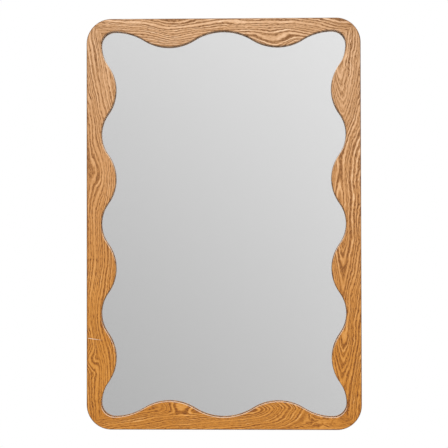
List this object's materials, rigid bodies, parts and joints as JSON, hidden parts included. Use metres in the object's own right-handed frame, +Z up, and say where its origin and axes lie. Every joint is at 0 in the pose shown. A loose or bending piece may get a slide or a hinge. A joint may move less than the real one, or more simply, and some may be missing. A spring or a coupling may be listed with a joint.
{
  "type": "wall mirror",
  "caption": "Upright wall mirror in a solid oak frame with rounded outer corners and a wavy inner edge, backed, with strap hangers and bumpers.",
  "frame": {"origin": "centre of the frame's outline, on the surface of the wall behind it (the plane of the bumpers' faces)", "axes": "+X to the right seen from the front, +Y from the mirror into the wall, +Z up"},
  "size_m": [0.61, 0.024, 0.914],
  "materials": {
    "oak": "satin clear lacquer",
    "beech": "raw",
    "nail_steel": "plain steel strip",
    "glass": "polished float glass",
    "silvering": "silver under grey back paint and film",
    "spacer_rubber": "matt",
    "foam": "closed-cell foam",
    "fibreboard": "medium-density fibreboard, sanded",
    "zinc_plate": "bright zinc plate",
    "ring_wire": "nickel plate",
    "screw_steel": "zinc plate",
    "bumper_rubber": "soft matt rubber"
  },
  "bodies": {
    "frame": {"top_rail": "oak", "bottom_rail": "oak", "left_stile": "oak", "right_stile": "oak", "corner_dowels": "beech", "corner_v_nails": "nail_steel", "mirror_glass": "glass", "silvered_backing": "silvering", "glass_edge_spacers": "spacer_rubber", "foam_strips": "foam", "backing_board": "fibreboard", "hanger_strap_left_stile": "zinc_plate", "hanger_strap_right_stile": "zinc_plate", "hanger_strap_top_rail": "zinc_plate", "hanger_strap_bottom_rail": "zinc_plate", "hanger_screws": "screw_steel", "wall_bumpers": "bumper_rubber", "turn_button_screws": "screw_steel"},
    "turn_button_left_upper": {"turn_button_left_upper": "zinc_plate"},
    "turn_button_left_middle": {"turn_button_left_middle": "zinc_plate"},
    "turn_button_left_lower": {"turn_button_left_lower": "zinc_plate"},
    "turn_button_right_upper": {"turn_button_right_upper": "zinc_plate"},
    "turn_button_right_middle": {"turn_button_right_middle": "zinc_plate"},
    "turn_button_right_lower": {"turn_button_right_lower": "zinc_plate"},
    "turn_button_top_left": {"turn_button_top_left": "zinc_plate"},
    "turn_button_top_right": {"turn_button_top_right": "zinc_plate"},
    "turn_button_bottom_left": {"turn_button_bottom_left": "zinc_plate"},
    "turn_button_bottom_right": {"turn_button_bottom_right": "zinc_plate"},
    "hanger_ring_left_stile": {"hanger_ring_left_stile": "ring_wire"},
    "hanger_ring_right_stile": {"hanger_ring_right_stile": "ring_wire"},
    "hanger_ring_top_rail": {"hanger_ring_top_rail": "ring_wire"},
    "hanger_ring_bottom_rail": {"hanger_ring_bottom_rail": "ring_wire"}
  },
  "joints": [
    {"name": "turn_left_upper", "type": "hinge", "parent": "frame", "child": "turn_button_left_upper", "pos_m": [-0.2945, -0.005, 0.311], "axis": [0, 1, 0], "continuous": true},
    {"name": "turn_left_middle", "type": "hinge", "parent": "frame", "child": "turn_button_left_middle", "pos_m": [-0.2945, -0.005, 0], "axis": [0, 1, 0], "continuous": true},
    {"name": "turn_left_lower", "type": "hinge", "parent": "frame", "child": "turn_button_left_lower", "pos_m": [-0.2945, -0.005, -0.311], "axis": [0, 1, 0], "continuous": true},
    {"name": "turn_right_upper", "type": "hinge", "parent": "frame", "child": "turn_button_right_upper", "pos_m": [0.2945, -0.005, 0.311], "axis": [0, 1, 0], "continuous": true},
    {"name": "turn_right_middle", "type": "hinge", "parent": "frame", "child": "turn_button_right_middle", "pos_m": [0.2945, -0.005, 0], "axis": [0, 1, 0], "continuous": true},
    {"name": "turn_right_lower", "type": "hinge", "parent": "frame", "child": "turn_button_right_lower", "pos_m": [0.2945, -0.005, -0.311], "axis": [0, 1, 0], "continuous": true},
    {"name": "turn_top_left", "type": "hinge", "parent": "frame", "child": "turn_button_top_left", "pos_m": [-0.103, -0.005, 0.4465], "axis": [0, 1, 0], "continuous": true},
    {"name": "turn_top_right", "type": "hinge", "parent": "frame", "child": "turn_button_top_right", "pos_m": [0.103, -0.005, 0.4465], "axis": [0, 1, 0], "continuous": true},
    {"name": "turn_bottom_left", "type": "hinge", "parent": "frame", "child": "turn_button_bottom_left", "pos_m": [-0.103, -0.005, -0.4465], "axis": [0, 1, 0], "continuous": true},
    {"name": "turn_bottom_right", "type": "hinge", "parent": "frame", "child": "turn_button_bottom_right", "pos_m": [0.103, -0.005, -0.4465], "axis": [0, 1, 0], "continuous": true},
    {"name": "ring_swing_left_stile", "type": "hinge", "parent": "frame", "child": "hanger_ring_left_stile", "pos_m": [-0.295, -0.00285, 0.257], "axis": [-1, 0, 0], "range_deg": [0, 175]},
    {"name": "ring_swing_right_stile", "type": "hinge", "parent": "frame", "child": "hanger_ring_right_stile", "pos_m": [0.295, -0.00285, 0.257], "axis": [-1, 0, 0], "range_deg": [0, 175]},
    {"name": "ring_swing_top_rail", "type": "hinge", "parent": "frame", "child": "hanger_ring_top_rail", "pos_m": [-0.175, -0.00285, 0.447], "axis": [0, 0, -1], "range_deg": [0, 175]},
    {"name": "ring_swing_bottom_rail", "type": "hinge", "parent": "frame", "child": "hanger_ring_bottom_rail", "pos_m": [-0.175, -0.00285, -0.447], "axis": [0, 0, -1], "range_deg": [0, 175]}
  ]
}
